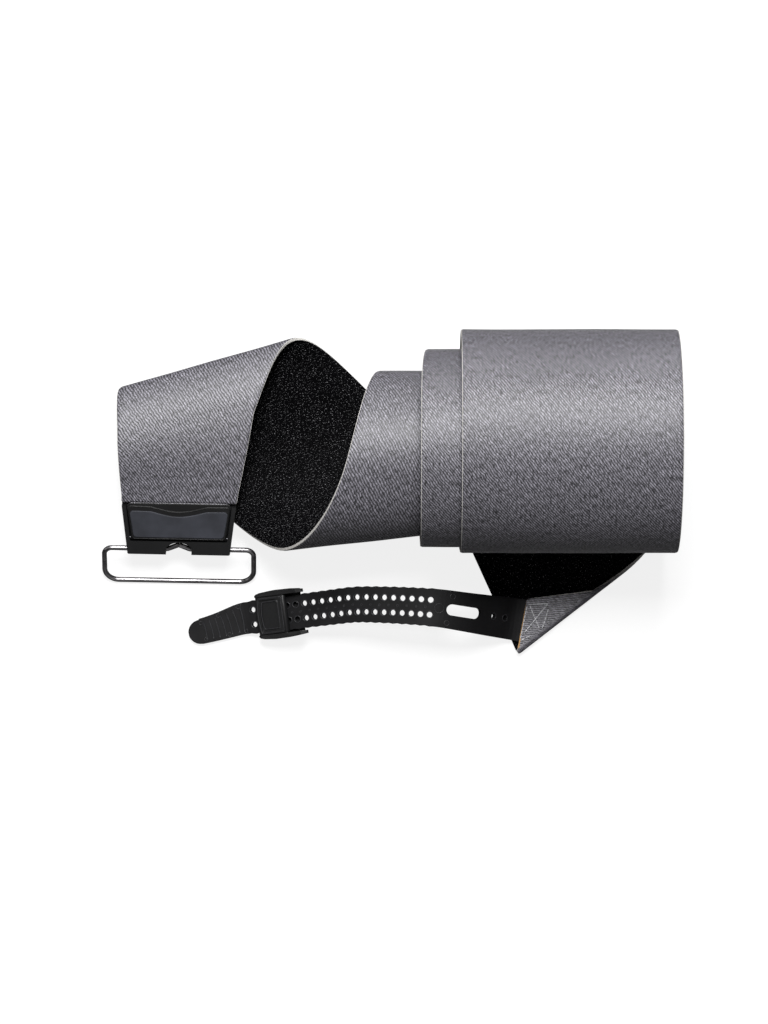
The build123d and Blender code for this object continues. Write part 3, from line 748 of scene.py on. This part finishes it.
def moulded_material(name, colour, rough, grain, specular):
    """Moulded plastic or rubber: fine grain, slow variation and faint handling marks."""
    material, nodes, links, shader = new_material(name)
    coordinates = add(nodes, "TexCoord")
    fine = add(nodes, "TexNoise", Scale=grain, Detail=3.0, Roughness=0.6)
    links.new(coordinates.outputs["Object"], fine.inputs["Vector"])
    slow = add(nodes, "TexNoise", Scale=60.0, Detail=4.0)
    links.new(coordinates.outputs["Object"], slow.inputs["Vector"])
    dark = tuple(0.72 * c for c in colour)
    light = tuple(1.35 * c for c in colour)
    tint = ramp(nodes, links, slow.outputs["Fac"], [(0.3, dark), (0.7, light)])
    links.new(tint.outputs["Color"], shader.inputs["Base Color"])
    marks = ramp(nodes, links, slow.outputs["Fac"], [(0.35, rough), (0.75, rough - 0.12)])
    links.new(marks.outputs["Color"], shader.inputs["Roughness"])
    shader.inputs["Specular IOR Level"].default_value = specular
    bump(nodes, links, shader, fine.outputs["Fac"], 0.25, 0.0001)
    return material


def metal_material(name, colour, rough, stretch):
    """Polished or brushed metal with fine drawing marks."""
    material, nodes, links, shader = new_material(name)
    coordinates = add(nodes, "TexCoord")
    drawn = add(nodes, "Mapping")
    drawn.inputs["Scale"].default_value = stretch
    links.new(coordinates.outputs["Object"], drawn.inputs["Vector"])
    lines = add(nodes, "TexNoise", Scale=300.0, Detail=4.0)
    links.new(drawn.outputs["Vector"], lines.inputs["Vector"])
    tint = ramp(nodes, links, lines.outputs["Fac"], [(0.3, tuple(0.86 * c for c in colour)), (0.7, colour)])
    links.new(tint.outputs["Color"], shader.inputs["Base Color"])
    polish = ramp(nodes, links, lines.outputs["Fac"], [(0.3, rough), (0.7, rough * 1.7)])
    links.new(polish.outputs["Color"], shader.inputs["Roughness"])
    shader.inputs["Metallic"].default_value = 1.0
    return material


def thread_material():
    """White twisted thread."""
    material, nodes, links, shader = new_material("thread")
    coordinates = add(nodes, "TexCoord")
    twist = add(nodes, "TexWave", Scale=900.0, Distortion=1.5)
    links.new(coordinates.outputs["Object"], twist.inputs["Vector"])
    tint = ramp(nodes, links, twist.outputs["Fac"], [(0.0, (0.52, 0.52, 0.55)), (1.0, (0.86, 0.86, 0.88))])
    links.new(tint.outputs["Color"], shader.inputs["Base Color"])
    shader.inputs["Roughness"].default_value = 0.7
    bump(nodes, links, shader, twist.outputs["Fac"], 0.4, 0.0001)
    return material


def floor_material():
    """Plain pale studio floor that looks white and throws little light back up."""
    material, nodes, links, shader = new_material("floor")
    seen = nodes.new("ShaderNodeLightPath")
    glow = add(nodes, "Emission", Color=(1, 1, 1, 1), Strength=FLOOR_GLOW)
    lit = add(nodes, "BsdfDiffuse", Color=(FLOOR_LIT, FLOOR_LIT, FLOOR_LIT, 1))
    white = nodes.new("ShaderNodeAddShader")
    links.new(glow.outputs["Emission"], white.inputs[0])
    links.new(lit.outputs["BSDF"], white.inputs[1])
    dim = add(nodes, "BsdfDiffuse", Color=(FLOOR_BOUNCE, FLOOR_BOUNCE, FLOOR_BOUNCE, 1))
    both = nodes.new("ShaderNodeMixShader")
    links.new(seen.outputs["Is Camera Ray"], both.inputs["Fac"])
    links.new(dim.outputs["BSDF"], both.inputs[1])
    links.new(white.outputs["Shader"], both.inputs[2])
    links.new(both.outputs["Shader"], nodes["Material Output"].inputs["Surface"])
    nodes.remove(shader)
    return material


# ---- CAD nodes ----
def give(node, material):
    """CAD node gets this material in every slot."""
    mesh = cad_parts[node].data
    if not mesh.materials:
        mesh.materials.append(material)
    for i in range(len(mesh.materials)):
        mesh.materials[i] = material


def soften(node, width):
    """Small rounded edges on a moulded CAD node."""
    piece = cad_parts[node]
    weld = piece.modifiers.new("weld", "WELD")
    weld.merge_threshold = 0.00001
    round_off = piece.modifiers.new("round_off", "BEVEL")
    round_off.width = width
    round_off.segments = 3
    round_off.limit_method = "ANGLE"
    round_off.angle_limit = radians(38)


# ---- stage ----
def build_floor():
    """Large square under the object, outside the part."""
    corners = [(x * FLOOR_HALF, y * FLOOR_HALF, 0) for x, y in ((-1, -1), (1, -1), (1, 1), (-1, 1))]
    mesh = bpy.data.meshes.new("floor")
    mesh.from_pydata(corners, [], [(0, 1, 2, 3)])
    mesh.materials.append(floor_material())
    floor = bpy.data.objects.new("floor", mesh)
    bpy.context.scene.collection.objects.link(floor)


def build_light():
    """Soft studio lamps aimed at the origin, and a faint even light from all round."""
    for name, position, size, power in LAMPS:
        light = bpy.data.lights.new(name, "AREA")
        light.size = size
        light.energy = power
        lamp = bpy.data.objects.new(name, light)
        lamp.location = position
        lamp.rotation_euler = (-Vector(position)).to_track_quat("-Z", "Y").to_euler()
        bpy.context.scene.collection.objects.link(lamp)
    world = bpy.data.worlds.new("studio")
    world.use_nodes = True
    world.node_tree.nodes["Background"].inputs["Color"].default_value = (1, 1, 1, 1)
    world.node_tree.nodes["Background"].inputs["Strength"].default_value = WORLD
    bpy.context.scene.world = world
    bpy.context.scene.view_settings.view_transform = "Standard"


def build_camera():
    """Camera straight above the object."""
    lens = bpy.data.cameras.new("camera")
    lens.lens = LENS
    lens.sensor_width = SENSOR
    camera = bpy.data.objects.new("camera", lens)
    camera.location = CAMERA
    bpy.context.scene.collection.objects.link(camera)
    bpy.context.scene.camera = camera


def main():
    plush = plush_material()
    rubber = moulded_material("strap_rubber", (0.0085, 0.0083, 0.0090), rough=0.60, grain=900.0,
                              specular=0.16)
    # strap_raised_highlight: the black strap and buckle rubber painted about three times lighter, a painted
    # highlight on the raised hole lips, grip ridges, moulding marks, dimples and lever beads
    raised = moulded_material("strap_raised_highlight", (0.024, 0.024, 0.027), rough=0.42, grain=900.0, specular=0.5)
    base_plastic = moulded_material("base_plastic", (0.007, 0.007, 0.0075), rough=0.50, grain=1400.0,
                                    specular=0.35)
    slate = moulded_material("lid_slate", (0.036, 0.038, 0.047), rough=0.55, grain=1400.0, specular=0.35)
    buckle_plastic = moulded_material("buckle_plastic", (0.008, 0.008, 0.0085), rough=0.42, grain=1400.0,
                                      specular=0.4)
    steel = metal_material("pin_steel", (0.16, 0.16, 0.17), rough=0.38, stretch=(0.1, 1, 1))
    chrome = metal_material("chrome_wire", (0.34, 0.33, 0.34), rough=0.24, stretch=(0.05, 1, 1))
    thread = thread_material()

    strip = build_strip()
    cut_edge = edge_material("cut_edge", (0.34, 0.33, 0.32), (0.72, 0.70, 0.66))
    end_edge = edge_material("end_edge", (0.38, 0.20, 0.07), (0.70, 0.44, 0.20))
    for material in (plush, glue_material(), cut_edge, end_edge):
        strip.data.materials.append(material)
    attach(strip, "root")
    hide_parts("skin_plush", "adhesive_coat")

    # The raised pieces below take the lighter material, whose colour carries a painted highlight
    build_hole_rims(raised)
    build_strap_marks(raised)
    build_lever_beads(raised)
    stitches = build_stitches(thread)
    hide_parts("strap_stitching")

    lid_pieces = build_lid(base_plastic, slate)
    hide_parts("clip_lid")

    give("tail_strap", rubber)
    give("clip_base", base_plastic)
    give("buckle_frame", buckle_plastic)
    give("buckle_lever", buckle_plastic)
    give("bail_wire", chrome)
    for node in ("lid_pin", "tip_rivets", "lever_pin"):
        give(node, steel)
    soften("clip_base", 0.0004)
    soften("buckle_frame", 0.0005)
    soften("buckle_lever", 0.0004)
    build_floor()
    build_light()
    build_camera()


main()
